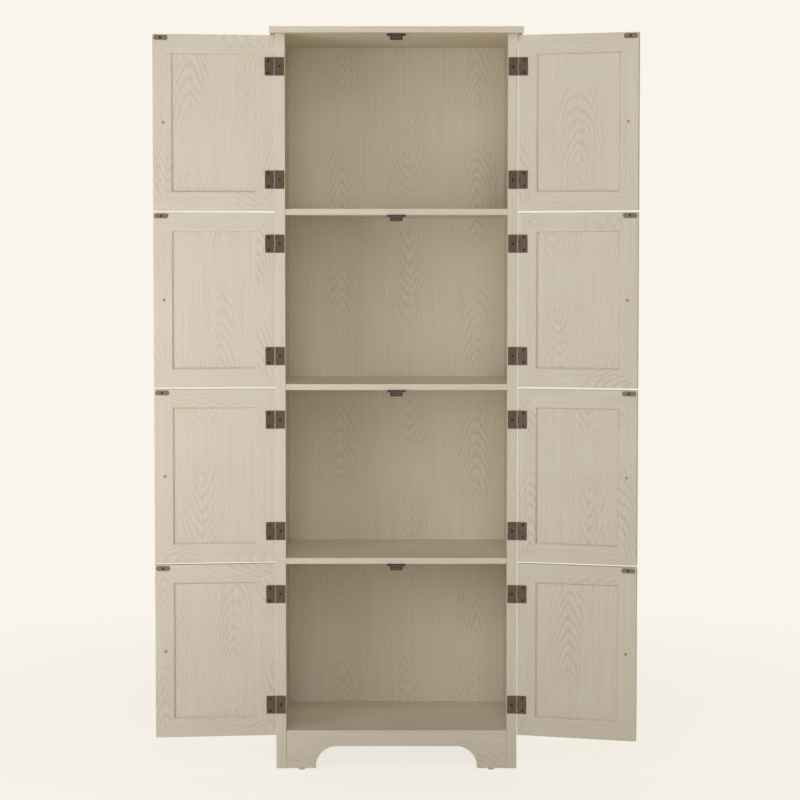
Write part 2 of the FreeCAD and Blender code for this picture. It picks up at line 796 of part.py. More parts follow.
def make_apron(glides):
    """Front apron between the stiles, cut out to an arch with two feet."""
    body = new_body("apron_board", placement(y=APRON_BACK))
    end = "(body_width / 2 - front_stile_width)"
    arch = "(arch_width / 2)"
    crown = "glide_height + arch_height"
    corners = [
        (f"-{end}", "glide_height"),
        (f"-{arch}", "glide_height"),
        (f"-{arch}", crown, "arch_radius"),
        (arch, crown, "arch_radius"),
        (arch, "glide_height"),
        (end, "glide_height"),
        (end, "bottom_panel_top"),
        (f"-{end}", "bottom_panel_top"),
    ]
    pad(body, outline(body, "XZ_Plane", corners), "board")
    node(cut("apron_drilled", body, glides), "front_apron")


def check_document():
    """Stop if any object failed or any sub-part has no sound solid."""
    doc.recompute()
    for item in doc.Objects:
        if {"Invalid", "Error"} & set(item.State):
            raise RuntimeError(f"{item.Label} failed: {item.State}")
    for piece in nodes:
        if piece.Shape.isNull() or not piece.Shape.isValid() or not piece.Shape.Solids:
            raise RuntimeError(f"{piece.Label} has no valid solid")


def write_parts():
    """Write each sub-part to a file of its own name."""
    os.makedirs("parts", exist_ok=True)
    for piece in nodes:
        piece.Shape.exportStep(f"parts/{piece.Label}.step")
    print(f"{len(nodes)} sub-parts, {sum(len(piece.Shape.Solids) for piece in nodes)} solids")


fill_sheet()
wood_screw = make_screw()
stile_screws = make_hinges(wood_screw)
make_doors(wood_screw)
catch_screw_seats, placed_catch_screws = make_catches(wood_screw)
cam_drills, cam_bolts, cam_drills_in_sides = make_cam_fittings()
floor_glides = make_glides()
make_top_and_back(cam_bolts, placed_catch_screws)
make_sides(cam_bolts, cam_drills_in_sides, floor_glides, stile_screws)
make_shelves(cam_drills, catch_screw_seats)
make_apron(floor_glides)
check_document()
write_parts()
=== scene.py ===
import json
import math

import bmesh
import bpy
from bpy.props import FloatProperty, FloatVectorProperty, PointerProperty
from mathutils import Matrix, Vector


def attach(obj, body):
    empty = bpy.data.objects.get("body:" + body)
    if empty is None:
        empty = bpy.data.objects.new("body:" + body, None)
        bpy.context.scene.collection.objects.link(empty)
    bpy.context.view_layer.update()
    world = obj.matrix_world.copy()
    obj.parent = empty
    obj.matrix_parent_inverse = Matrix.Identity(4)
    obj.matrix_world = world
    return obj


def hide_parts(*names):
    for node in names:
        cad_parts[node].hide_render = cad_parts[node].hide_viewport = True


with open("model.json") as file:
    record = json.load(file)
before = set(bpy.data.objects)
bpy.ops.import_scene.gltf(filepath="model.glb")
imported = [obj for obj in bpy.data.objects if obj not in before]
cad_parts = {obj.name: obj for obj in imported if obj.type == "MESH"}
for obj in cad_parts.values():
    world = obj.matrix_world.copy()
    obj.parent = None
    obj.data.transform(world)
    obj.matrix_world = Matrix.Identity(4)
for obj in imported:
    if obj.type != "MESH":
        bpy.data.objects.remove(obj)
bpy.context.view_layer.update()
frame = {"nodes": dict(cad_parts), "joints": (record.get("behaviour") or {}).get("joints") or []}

bl_info = {
    "name": "Whitewashed oak storage cabinet",
    "version": (1, 0, 0),
    "blender": (4, 5, 0),
    "location": "View3D > Sidebar > Cabinet",
    "description": "Finishes a tall eight-door storage cabinet over its fixed model",
    "category": "Object",
}

MM = 0.001
GRAIN_MAP = "grain"
CARCASS = "carcass"
JOINT_OF = {joint["child"]: joint for joint in frame["joints"]}
DOORS = list(JOINT_OF)
BOARDS = (
    "top_panel",
    "left_side_panel",
    "right_side_panel",
    "left_front_stile",
    "right_front_stile",
    "upper_shelf",
    "middle_shelf",
    "lower_shelf",
    "bottom_panel",
    "front_apron",
)

# Edges shorter than this belong to drilled holes and arcs, and stay crisp
SHORTEST_ROUNDED_EDGE = 3 * MM
SHARP = math.radians(35)  # edges that turn more than this are rounded or stay sharp
FLAT = math.radians(0.2)  # faces that turn less than this are one face
MITRE_SLOPE = 0.3  # a mitre faces both sideways and upwards by more than this
# Faces narrower than this take the straight grain from the side of a veneer leaf
NARROW_FACE = 30 * MM
# Screws and bolts are flatter than this along Z, and the plates and knobs that they hold are not
FASTENER_HEIGHT = 10 * MM
HEAD_STEPS = 24  # corners round a turned head, a multiple of eight
CROWN_DEPTH = 0.02 * MM  # how deep the middle of a domed crown is taken to be
RECESS_TAPER = 0.6  # floor of a cross recess against its rim
BARREL_REACH = 2.7 * MM  # a hinge's barrel lies within this of its axis, and its leaves beyond it
# Steps of this share of a turn, or of a length, never fall into step with one another
GOLDEN = 0.6180339887

# Turned fasteners, in millimetres: rings of radius and height from the rim of the crown to the tip
SCREW_RINGS = ((2.75, 0), (2.95, -0.1), (1.5, -1.5), (1.5, -11), (0.1, -13))
BOLT_RINGS = ((2.3, 0), (3.2, -0.3), (3.65, -0.9), (3.75, -2), (2, -2), (2, -29))
CAM_RINGS = ((7, 0), (7.5, -0.5), (7.5, -12))
# Cross recesses, in millimetres: reach of an arm, half its width, depth
SCREW_RECESS = (1.9, 0.45, 1.2)
BOLT_RECESS = (1.6, 0.42, 1.0)
CAM_RECESS = (3.4, 0.9, 2.6)

MIX_A, MIX_B, MIX_COLOUR = 6, 7, 2  # sockets of a Mix node that are colours

# Arches of the oak print: length of a run of them, how far from the heart it ends, how round they are
# (1 for a plain point and 2 for a circle), and how ragged and uneven they are, in rings
RUN_OF_ARCHES = 340 * MM
LEAF_SPREAD = 40  # runs over which the starts of the leaves are spread at random
ARCHES_DEPTH = 90 * MM
ROUNDNESS = 1.6
RAGGEDNESS = 0.5
UNEVENNESS = 1.3
# Patterns of the oak print, in millimetres along and across the grain. The pores are drawn coarser
# than real ones, which would be too fine to show.
SWAY_SIZE = (180, 30)
SWAY_REACH = (30, 6)
UNEVEN_SIZE = (120, 40)
RAG_SIZE = (60, 4)
PATCH_SIZE = (260, 70)
STREAK_SIZE = (220, 8)
FIBRE_SIZE = (45, 1.3)
PORE_SIZE = (9, 0.55)
# How much of the darker colours each part of the print brings
STREAK_TONE, FIBRE_TONE, BAND_TONE, PORE_TONE = 0.36, 0.2, 0.76, 0.6
# The sheet of print that the boards are cut from: its length in metres and its width in veneer leaves
SHEET_LENGTH, SHEET_LEAVES = 11, 9
# Reach, in veneer leaves, within which the heart of the arches lies on the door panels
PANEL_LEAN = 0.7
# First seeds of the door frames and the door panels, and the steps from door to door
FRAME_SEEDS, PANEL_SEEDS = (20, 5), (70, 3)

# Sizes of the noise in the other materials
HARDBOARD_CLUMP, HARDBOARD_FIBRE = 6 * MM, 1.5 * MM
PATINA_CLOUD = 6 * MM
RUBBED_EDGE = 0.5 * MM
MOULD_GRIT_MM, FERRITE_GRIT_MM = 0.5, 0.3


def linear(hex_colour):
    """Turn an sRGB hex colour into linear red, green and blue."""
    levels = [int(hex_colour[i:i + 2], 16) / 255 for i in (0, 2, 4)]
    return [v / 12.92 if v <= 0.04045 else ((v + 0.055) / 1.055) ** 2.4 for v in levels]


def colour_property(name, description, hex_colour):
    """A colour that a user can change, with its first value in sRGB hex."""
    return FloatVectorProperty(
        name=name, description=description, subtype="COLOR", size=3, min=0, max=1, default=linear(hex_colour)
    )


def length_property(name, description, millimetres):
    """A length that a user can change, with its first value in millimetres."""
    return FloatProperty(
        name=name, description=description, subtype="DISTANCE", unit="LENGTH", default=millimetres * MM
    )


def power_property(name, description, watts):
    """The power of a lamp that a user can change."""
    return FloatProperty(name=name, description=description, unit="POWER", min=0, default=watts)


class CabinetFinish(bpy.types.PropertyGroup):
    """Colours of the cabinet's surfaces."""

    oak_pale: colour_property("Oak, late wood", "Pale ground of the whitewashed oak print", "DED4BC")
    oak_grain: colour_property("Oak, early wood", "Bands of early wood in the print", "D0C2A6")
    oak_pore: colour_property("Oak, pores", "Fine pores that hold more of the stain", "BAAA8F")
    hardboard: colour_property("Hardboard", "Bare rear of the thin back panel", "93795E")
    hardboard_fibre: colour_property("Hardboard fibre", "Darker fibres of the bare hardboard", "7A634C")
    bronze: colour_property("Bronzed steel", "Hinge leaves and knobs", "5C5047")
    bronze_rubbed: colour_property("Bronzed steel, rubbed", "Edges where the bronze is rubbed thin", "7A6B5D")
    # Paler bronze of the hinge barrels: a painted highlight, not a burnished finish
    bronze_burnished: colour_property("Bronzed steel, burnished", "Barrels of the hinges", "8C8177")
    plating: colour_property("Dull plating", "Strike plates of the catches", "85786F")
    screw: colour_property("Blackened screw", "Heads of the wood screws", "352C27")
    brass: colour_property("Brassed bolt", "Low heads of the knob bolts", "C0B08C")
    brass_tarnish: colour_property("Brass tarnish", "Tarnish on the knob bolts", "A2926E")
    plastic: colour_property("Brown plastic", "Housings of the catches", "301F18")
    glide: colour_property("Glide plastic", "Grey plastic of the floor glides", "C8BFBA")
    steel: colour_property("Oiled steel", "Pole plates of the catches", "69574D")
    zinc: colour_property("Zinc alloy", "Cam locks and their bolts", "A9A9A6")
    ferrite: colour_property("Ferrite", "Magnets of the catches", "382C29")


class CabinetMaking(bpy.types.PropertyGroup):
    """Small sizes that the finish adds to the boards, the metal and the print."""

    board_edge: length_property("Board edge", "Rounding of the boards' edges", 1.0)
    door_edge: length_property("Door edge", "Rounding of the door members' edges", 1.2)
    metal_edge: length_property("Metal edge", "Rounding of stamped and moulded edges", 0.25)
    leaf_width: length_property("Veneer leaf", "Width of one printed veneer leaf", 177)
    ring_spacing: length_property("Growth ring", "Spacing of the growth rings", 8)
    back_leaf_shift: length_property("Back leaf shift", "Middle leaf of the back to the right of centre", 35)


class CabinetStudio(bpy.types.PropertyGroup):
    """Background, light and camera of the stage."""

    background: colour_property("Background", "Colour of the floor and the backdrop", "F9F5EA")
    rear_light: FloatProperty(
        name="Rear light", description="Strength of the even light from behind the cabinet", min=0,
        default=0.9,
    )
    lamp: colour_property("Lamp colour", "Slightly cool white of the soft boxes", "F0F1FF")
    front_box: power_property("Front box", "Power of the tall soft box in front", 95)
    left_box: power_property("Left box", "Power of the small soft box on the left", 9)
    camera_place: FloatVectorProperty(
        name="Camera place", description="Where the camera stands", subtype="TRANSLATION",
        default=(0.009, -5.751, 1.257),
    )
    camera_tilt: FloatProperty(
        name="Camera tilt", description="How far the camera looks down", subtype="ANGLE",
        default=math.radians(2.86),
    )
    lens: FloatProperty(name="Lens", description="Focal length in millimetres", default=98.64)
    lens_shift: FloatProperty(name="Lens shift", description="Upward shift of the frame", default=-0.035)


def finish_of_scene():
    """The colours that the user has set."""
    return bpy.context.scene.cabinet_finish


def making_of_scene():
    """The small sizes that the user has set."""
    return bpy.context.scene.cabinet_making


def add(tree, kind, inputs=None, out=0, **settings):
    """Add one node with its settings, set or link its inputs, and give one of its outputs."""
    node = tree.nodes.new(f"ShaderNode{kind}")
    for name, value in settings.items():
        setattr(node, name, value)
    for name, value in (inputs or {}).items():
        if isinstance(value, bpy.types.NodeSocket):
            tree.links.new(value, node.inputs[name])
        else:
            node.inputs[name].default_value = value
    return node.outputs[out]


def new_material(name, **values):
    """A new material and its shader, with the values that are the same all over set on the shader."""
    material = bpy.data.materials.new(name)
    material.use_nodes = True
    shader = material.node_tree.nodes["Principled BSDF"]
    for socket, value in values.items():
        shader.inputs[socket].default_value = value
    return material, material.node_tree, shader


def opaque(colour):
    """A colour with full cover."""
    return (*colour, 1.0)


def repeats(size_mm):
    """Repeats in a metre of a pattern with this size along and across the grain."""
    along, across = size_mm
    return (1 / (along * MM), 1 / (across * MM), 0)


def material(make):
    """The material of a making function, made the first time that it is asked for."""
    return bpy.data.materials.get(make.__name__) or make(make.__name__)


def oak_bands(tree, place, swayed):
    """Bands of early wood in one veneer leaf beside another, from 0 to 1.

    Each leaf runs slowly away from the heart of the log, so its rings come out as ragged arches nested
    one way down the middle and as straight lines towards its edges. A run of arches fades into straight
    grain before the next one starts.
    """
    making = making_of_scene()
    leaf_width = making.leaf_width
    along = add(tree, "SeparateXYZ", {0: swayed}, "X")
    across = add(tree, "SeparateXYZ", {0: swayed}, "Y")
    leaf = add(tree, "Math", {0: across, 1: leaf_width}, operation="DIVIDE")
    leaf_number = add(tree, "Math", {0: leaf}, operation="FLOOR")
    leaf_share = add(tree, "Math", {0: leaf}, operation="FRACT")
    from_middle = add(
        tree, "Math", {0: leaf_share, 1: leaf_width, 2: -leaf_width / 2}, operation="MULTIPLY_ADD"
    )
    off_middle = add(tree, "Math", {0: from_middle}, operation="ABSOLUTE")

    # The run of arches: which way it points in this leaf, and how far along it this place is
    leaf_seed = add(tree, "TexWhiteNoise", {"W": leaf_number}, noise_dimensions="1D")
    way = add(tree, "Math", {0: leaf_seed, 1: 0.5}, operation="SUBTRACT")
    way = add(tree, "Math", {0: way}, operation="SIGN")
    run = add(tree, "Math", {0: along, 1: way}, operation="MULTIPLY")
    run = add(tree, "Math", {0: run, 1: RUN_OF_ARCHES}, operation="DIVIDE")
    run = add(tree, "Math", {0: leaf_seed, 1: LEAF_SPREAD, 2: run}, operation="MULTIPLY_ADD")
    run = add(tree, "Math", {0: run}, operation="FRACT")
    begins = add(tree, "MapRange", {0: run, 1: 0, 2: 0.2}, interpolation_type="SMOOTHSTEP")
    ends = add(tree, "MapRange", {0: run, 1: 0.65, 2: 1, 3: 1, 4: 0}, interpolation_type="SMOOTHSTEP")

    # The distance from the heart, counted in rings and made uneven and ragged
    depth = add(tree, "Math", {0: run, 1: ARCHES_DEPTH}, operation="MULTIPLY")
    flank = add(tree, "Math", {0: off_middle, 1: ROUNDNESS}, operation="POWER")
    crown = add(tree, "Math", {0: depth, 1: ROUNDNESS}, operation="POWER")
    radius = add(tree, "Math", {0: flank, 1: crown}, operation="ADD")
    radius = add(tree, "Math", {0: radius, 1: 1 / ROUNDNESS}, operation="POWER")
    uneven_place = add(tree, "VectorMath", {0: place, 1: repeats(UNEVEN_SIZE)}, operation="MULTIPLY")
    uneven = add(tree, "TexNoise", {"Vector": uneven_place, "Scale": 1, "Detail": 1}, noise_dimensions="2D")
    rag_place = add(tree, "VectorMath", {0: swayed, 1: repeats(RAG_SIZE)}, operation="MULTIPLY")
    rag = add(tree, "TexNoise", {"Vector": rag_place, "Scale": 1, "Detail": 2}, noise_dimensions="2D")
    ring = add(tree, "Math", {0: radius, 1: making.ring_spacing}, operation="DIVIDE")
    ring = add(tree, "Math", {0: uneven, 1: UNEVENNESS, 2: ring}, operation="MULTIPLY_ADD")
    ring = add(tree, "Math", {0: rag, 1: RAGGEDNESS, 2: ring}, operation="MULTIPLY_ADD")
    ring = add(tree, "Math", {0: ring}, operation="FRACT")

    # A sharp start and a slow end to each band, and weaker bands at leaf edges and in some patches
    rise = add(tree, "MapRange", {0: ring, 1: 0, 2: 0.15}, interpolation_type="SMOOTHSTEP")
    fall = add(tree, "MapRange", {0: ring, 1: 0.15, 2: 0.65, 3: 1, 4: 0}, interpolation_type="SMOOTHSTEP")
    fade = add(
        tree, "MapRange", {0: off_middle, 1: 0.15 * leaf_width, 2: 0.42 * leaf_width, 3: 1, 4: 0.3}
    )
    patch_place = add(tree, "VectorMath", {0: place, 1: repeats(PATCH_SIZE)}, operation="MULTIPLY")
    patch = add(tree, "TexNoise", {"Vector": patch_place, "Scale": 1, "Detail": 1}, noise_dimensions="2D")
    band = add(tree, "MapRange", {0: patch, 1: 0.3, 2: 0.65, 3: 0.35, 4: 1})
    for share in (rise, fall, begins, ends, fade):
        band = add(tree, "Math", {0: band, 1: share}, operation="MULTIPLY")
    return band


def oak_print(tree):
    """Bands, streaks, fibres and pores of the printed oak, each from 0 to 1."""
    place = add(tree, "UVMap", uv_map=GRAIN_MAP)
    sway_place = add(tree, "VectorMath", {0: place, 1: repeats(SWAY_SIZE)}, operation="MULTIPLY")
    sway = add(tree, "TexNoise", {"Vector": sway_place, "Scale": 1, "Detail": 2}, 1, noise_dimensions="2D")
    reach = (SWAY_REACH[0] * MM, SWAY_REACH[1] * MM, 0)
    swayed = add(tree, "VectorMath", {0: sway, 1: reach, 2: place}, operation="MULTIPLY_ADD")
    band = oak_bands(tree, place, swayed)
    streak_place = add(tree, "VectorMath", {0: swayed, 1: repeats(STREAK_SIZE)}, operation="MULTIPLY")
    streak = add(tree, "TexNoise", {"Vector": streak_place, "Scale": 1, "Detail": 2}, noise_dimensions="2D")
    streak = add(tree, "MapRange", {0: streak, 1: 0.25, 2: 0.75})
    fibre_place = add(tree, "VectorMath", {0: swayed, 1: repeats(FIBRE_SIZE)}, operation="MULTIPLY")
    fibre = add(tree, "TexNoise", {"Vector": fibre_place, "Scale": 1, "Detail": 2}, noise_dimensions="2D")
    fibre = add(tree, "MapRange", {0: fibre, 1: 0.25, 2: 0.75})
    pore_place = add(tree, "VectorMath", {0: place, 1: repeats(PORE_SIZE)}, operation="MULTIPLY")
    pore = add(tree, "TexNoise", {"Vector": pore_place, "Scale": 1, "Detail": 1}, noise_dimensions="2D")
    pore = add(tree, "MapRange", {0: pore, 1: 0.6, 2: 0.72})
    porous = add(tree, "Math", {0: band, 1: 0.7, 2: 0.3}, operation="MULTIPLY_ADD")
    pore = add(tree, "Math", {0: pore, 1: porous}, operation="MULTIPLY")
    return band, streak, fibre, pore


def embossed_oak_laminate(name):
    """Whitewashed oak: a printed melamine paper, pressed on board with an embossed plate.

    The eye sees pale wood with arches of slightly darker early wood, fine fibres and pores, all low in
    contrast under the white wash, and a dull surface that is ribbed along the grain.
    """
    finish = finish_of_scene()
    oak, tree, shader = new_material(name, IOR=1.5)
    band, streak, fibre, pore = oak_print(tree)
    tone = add(tree, "Math", {0: streak, 1: STREAK_TONE}, operation="MULTIPLY")
    tone = add(tree, "Math", {0: fibre, 1: FIBRE_TONE, 2: tone}, operation="MULTIPLY_ADD")
    tone = add(tree, "Math", {0: band, 1: BAND_TONE, 2: tone}, operation="MULTIPLY_ADD", use_clamp=True)
    washed = add(
        tree,
        "Mix",
        {0: tone, MIX_A: opaque(finish.oak_pale), MIX_B: opaque(finish.oak_grain)},
        MIX_COLOUR,
        data_type="RGBA",
    )
    pore_tone = add(tree, "Math", {0: pore, 1: PORE_TONE}, operation="MULTIPLY")
    colour = add(
        tree,
        "Mix",
        {0: pore_tone, MIX_A: washed, MIX_B: opaque(finish.oak_pore)},
        MIX_COLOUR,
        data_type="RGBA",
    )
    tree.links.new(colour, shader.inputs["Base Color"])
    dullness = add(tree, "MapRange", {0: fibre, 1: 0, 2: 1, 3: 0.5, 4: 0.64})
    tree.links.new(dullness, shader.inputs["Roughness"])
    relief = add(tree, "Math", {0: pore, 1: -1, 2: fibre}, operation="MULTIPLY_ADD")
    emboss = add(tree, "Bump", {"Strength": 0.25, "Distance": 0.12 * MM, "Height": relief})
    tree.links.new(emboss, shader.inputs["Normal"])
    return oak


def bare_hardboard(name):
    """Hardboard as it leaves the press: brown, matt, with fibres matted at random and no print."""
    finish = finish_of_scene()
    board, tree, shader = new_material(name, IOR=1.45)
    place = add(tree, "TexCoord", out="Object")
    coarse = add(tree, "TexNoise", {"Vector": place, "Scale": 1 / HARDBOARD_CLUMP, "Detail": 4})
    fine = add(tree, "TexNoise", {"Vector": place, "Scale": 1 / HARDBOARD_FIBRE, "Detail": 3})
    mottle = add(tree, "Math", {0: coarse, 1: fine}, operation="MULTIPLY")
    mottle = add(tree, "MapRange", {0: mottle, 1: 0.12, 2: 0.42})
    colour = add(
        tree,
        "Mix",
        {0: mottle, MIX_A: opaque(finish.hardboard_fibre), MIX_B: opaque(finish.hardboard)},
        MIX_COLOUR,
        data_type="RGBA",
    )
    tree.links.new(colour, shader.inputs["Base Color"])
    dullness = add(tree, "MapRange", {0: fine, 1: 0.3, 2: 0.7, 3: 0.75, 4: 0.9})
    tree.links.new(dullness, shader.inputs["Roughness"])
    nap = add(tree, "Bump", {"Strength": 0.3, "Distance": 0.2 * MM, "Height": fine})
    tree.links.new(nap, shader.inputs["Normal"])
    return board


def patinated_metal(name, ground, rubbed, roughness):
    """Steel with a dark patina: cloudy in tone and gloss, and paler where edges are rubbed thin."""
    metal, tree, shader = new_material(name, Metallic=1.0)
    place = add(tree, "TexCoord", out="Object")
    cloud = add(tree, "TexNoise", {"Vector": place, "Scale": 1 / PATINA_CLOUD, "Detail": 4})
    cloud = add(tree, "MapRange", {0: cloud, 1: 0.35, 2: 0.7, 3: 0, 4: 0.35})
    rounded = add(tree, "Bevel", {"Radius": RUBBED_EDGE}, samples=4)
    true_normal = add(tree, "NewGeometry", out="Normal")
    turned = add(tree, "VectorMath", {0: rounded, 1: true_normal}, "Value", operation="DOT_PRODUCT")
    edge = add(tree, "MapRange", {0: turned, 1: 0.99, 2: 0.8, 3: 0, 4: 0.8})
    worn = add(tree, "Math", {0: cloud, 1: edge}, operation="MAXIMUM")
    colour = add(
        tree,
        "Mix",
        {0: worn, MIX_A: opaque(ground), MIX_B: opaque(rubbed)},
        MIX_COLOUR,
        data_type="RGBA",
    )
    tree.links.new(colour, shader.inputs["Base Color"])
    gloss = add(tree, "MapRange", {0: cloud, 1: 0, 2: 0.35, 3: roughness + 0.08, 4: roughness - 0.06})
    tree.links.new(gloss, shader.inputs["Roughness"])
    return metal


def bronze_plated_steel(name):
    """Stamped steel with an antique bronze plating: dark brown, with rubbed, warmer edges."""
    finish = finish_of_scene()
    return patinated_metal(name, finish.bronze, finish.bronze_rubbed, 0.42)


def burnished_bronze_plating(name):
    """Bronze plating of the hinge barrels: greyer and paler as a painted highlight, and a little glossier."""
    finish = finish_of_scene()
    return patinated_metal(name, finish.bronze_burnished, finish.bronze_rubbed, 0.36)


def blackened_steel(name):
    """Blackened steel of the wood screws: almost black, dull, a little brown where it is handled."""
    finish = finish_of_scene()
    return patinated_metal(name, finish.screw, finish.bronze, 0.5)


def dull_plated_steel(name):
    """Steel with a thin, dull plating: greyer and paler than the bronze, and cloudy."""
    finish = finish_of_scene()
    return patinated_metal(name, finish.plating, finish.bronze_rubbed, 0.45)


def tarnished_brass(name):
    """Brass plating of the knob bolts: yellow where it is clean, brown in the tarnished spots."""
    finish = finish_of_scene()
    return patinated_metal(name, finish.brass_tarnish, finish.brass, 0.36)


def cast_zinc(name):
    """Die-cast zinc alloy of the cam locks: pale grey, with a fine, dull casting skin."""
    finish = finish_of_scene()
    return patinated_metal(name, finish.zinc, finish.steel, 0.45)


def oiled_steel(name):
    """Cold-rolled steel of the pole plates: grey, turned brown and half dull by a film of old oil."""
    finish = finish_of_scene()
    return patinated_metal(name, finish.steel, finish.zinc, 0.4)


def moulded_plastic(name, colour, grit_mm=MOULD_GRIT_MM):
    """Plastic moulded in a spark-eroded tool: one colour through, with a fine grit that dulls it."""
    plastic, tree, shader = new_material(name, IOR=1.53)
    place = add(tree, "TexCoord", out="Object")
    grit = add(tree, "TexNoise", {"Vector": place, "Scale": 1 / (grit_mm * MM), "Detail": 2})
    tint = add(tree, "MapRange", {0: grit, 1: 0.3, 2: 0.7, 3: 0.88, 4: 1.1})
    toned = add(tree, "VectorMath", {0: tuple(colour), "Scale": tint}, operation="SCALE")
    tree.links.new(toned, shader.inputs["Base Color"])
    dullness = add(tree, "MapRange", {0: grit, 1: 0.3, 2: 0.7, 3: 0.4, 4: 0.55})
    tree.links.new(dullness, shader.inputs["Roughness"])
    skin = add(tree, "Bump", {"Strength": 0.2, "Distance": 0.05 * MM, "Height": grit})
    tree.links.new(skin, shader.inputs["Normal"])
    return plastic


def moulded_brown_abs(name):
    """Brown ABS of the catch housings, moulded: almost black in the shade, with a satin grain."""
    return moulded_plastic(name, finish_of_scene().plastic)


def moulded_polyethylene(name):
    """Grey polyethylene of the floor glides, moulded: pale and even, with a soft, waxy shine."""
    return moulded_plastic(name, finish_of_scene().glide)


def sintered_ferrite(name):
    """Pressed and sintered ferrite of the magnets: almost black, a little brown, grainy and matt."""
    return moulded_plastic(name, finish_of_scene().ferrite, FERRITE_GRIT_MM)


def solids_of(node):
    """The closed solids of a model node, which follow one another in its mesh, as points and faces."""
    mesh = frame["nodes"][node].data
    solids, faces, numbers, open_edges = [], [], {}, set()
    for polygon in mesh.polygons:
        points = [tuple(mesh.vertices[i].co) for i in polygon.vertices]
        corners = [numbers.setdefault(point, len(numbers)) for point in points]
        if len(set(corners)) < len(corners):
            continue
        faces.append(corners)
        for edge in zip(corners, corners[1:] + corners[:1]):
            open_edges ^= {frozenset(edge)}
        if not open_edges:
            solids.append((list(numbers), faces))
            faces, numbers = [], {}
    if faces:
        raise RuntimeError(f"{node} has a solid that isn't closed")
    return solids


def is_fastener(solid):
    """True for the flat-lying screws and bolts among a node's solids."""
    heights = [point[2] for point in solid[0]]
    return max(heights) - min(heights) < FASTENER_HEIGHT


def is_cam_lock(solid):
    """True for the round locks among the cam fittings, which are wider than their bolts each way."""
    spans = [max(places) - min(places) for places in zip(*solid[0])]
    return min(spans) > FASTENER_HEIGHT


def form_of(solids):
    """Solids as one form with clean flat faces."""
    form = bmesh.new()
    for points, faces in solids:
        verts = [form.verts.new(point) for point in points]
        for corners in faces:
            form.faces.new([verts[i] for i in corners])
    bmesh.ops.dissolve_limit(form, angle_limit=FLAT, verts=form.verts, edges=form.edges)
    form.normal_update()
    return form


def round_edges(form, radius, is_joint=None):
    """Round the long outer edges of a form, as a spindle or a press leaves them, but not tight joints."""
    edges = []
    for edge in form.edges:
        if len(edge.link_faces) == 2 and edge.is_convex and edge.calc_face_angle() > SHARP:
            tight = is_joint and any(is_joint(face) for face in edge.link_faces)
            if edge.calc_length() > SHORTEST_ROUNDED_EDGE and not tight:
                edges.append(edge)
    bmesh.ops.bevel(
        form, geom=edges, offset=radius, segments=2, profile=0.5, affect="EDGES", clamp_overlap=True
    )
    form.normal_update()
    return form


def islands(form):
    """The separate bodies of a form, each as its faces, in a steady order."""
    seen = set()
    for start in form.faces:
        if start in seen:
            continue
        seen.add(start)
        found, waiting = [], [start]
        while waiting:
            face = waiting.pop()
            found.append(face)
            for edge in face.edges:
                for neighbour in edge.link_faces:
                    if neighbour not in seen:
                        seen.add(neighbour)
                        waiting.append(neighbour)
        yield found


def closed_turn(body):
    """The turn that shuts a door, so that its members lie square to the axes."""
    if body not in JOINT_OF:
        return Matrix.Identity(4)
    joint = JOINT_OF[body]
    pivot = Matrix.Translation(joint["pos_m"])
    swing = Matrix.Rotation(math.radians(joint["range_deg"][1]), 4, joint["axis"])
    return pivot @ swing @ pivot.inverted()


def mitre_of(body):
    """A test for the mitred faces of a door's frame, which slope from side to top when it is shut."""
    turn = closed_turn(body).to_3x3()

    def is_mitre(face):
        normal = turn @ face.normal
        return min(abs(normal.x), abs(normal.z)) > MITRE_SLOPE

    return is_mitre


def lay_grain(form, body, seed, middle=None):
    """Lay the oak print on a form in real lengths, with the grain along each board.

    Boards are set apart by their seed. With a middle, the middle of a board lies that far from the
    middle of a veneer leaf. Narrow faces have straight grain, as edge bands do.
    """
    leaf_width = making_of_scene().leaf_width
    layer = form.loops.layers.uv.new(GRAIN_MAP)
    turn = closed_turn(body)
    for number, board in enumerate(islands(form)):
        spots = {vert: turn @ vert.co for face in board for vert in face.verts}
        low = [min(spot[axis] for spot in spots.values()) for axis in range(3)]
        high = [max(spot[axis] for spot in spots.values()) for axis in range(3)]
        by_length = sorted(range(3), key=lambda axis: low[axis] - high[axis])
        step = seed + number * GOLDEN
        start = SHEET_LENGTH * (step * GOLDEN % 1)
        side = SHEET_LEAVES * leaf_width * (step * math.sqrt(2) % 1)
        if middle is not None:
            whole_leaves = math.floor(side / leaf_width) + 0.5
            side = whole_leaves * leaf_width + middle - (high[by_length[1]] - low[by_length[1]]) / 2
        for face in board:
            normal = turn.to_3x3() @ face.normal
            through = max(range(3), key=lambda axis: abs(normal[axis]))
            along, across = [axis for axis in by_length if axis != through]
            narrow = high[across] - low[across] < NARROW_FACE
            strip = math.floor(side / leaf_width) * leaf_width if narrow else side
            for loop in face.loops:
                spot = spots[loop.vert]
                loop[layer].uv = (spot[along] - low[along] + start, spot[across] - low[across] + strip)
    return form


def piece_from(form, name, finish, body, nodes=()):
    """Turn a form into a piece that rides on a body and stands for model nodes."""
    for face in form.faces:
        face.smooth = True
    for edge in form.edges:
        edge.smooth = len(edge.link_faces) == 2 and edge.calc_face_angle() < SHARP
    mesh = bpy.data.meshes.new(name)
    form.to_mesh(mesh)
    form.free()
    mesh.materials.append(finish)
    piece = bpy.data.objects.new(name, mesh)
    bpy.context.scene.collection.objects.link(piece)
    shading = piece.modifiers.new("flat faces stay flat", "WEIGHTED_NORMAL")
    shading.keep_sharp = True
    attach(piece, body)
    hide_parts(*nodes)
    return piece


def give_finish(node, finish):
    """Give a model node that keeps its own shape a better material."""
    mesh = frame["nodes"][node].data
    mesh.materials.clear()
    mesh.materials.append(finish)


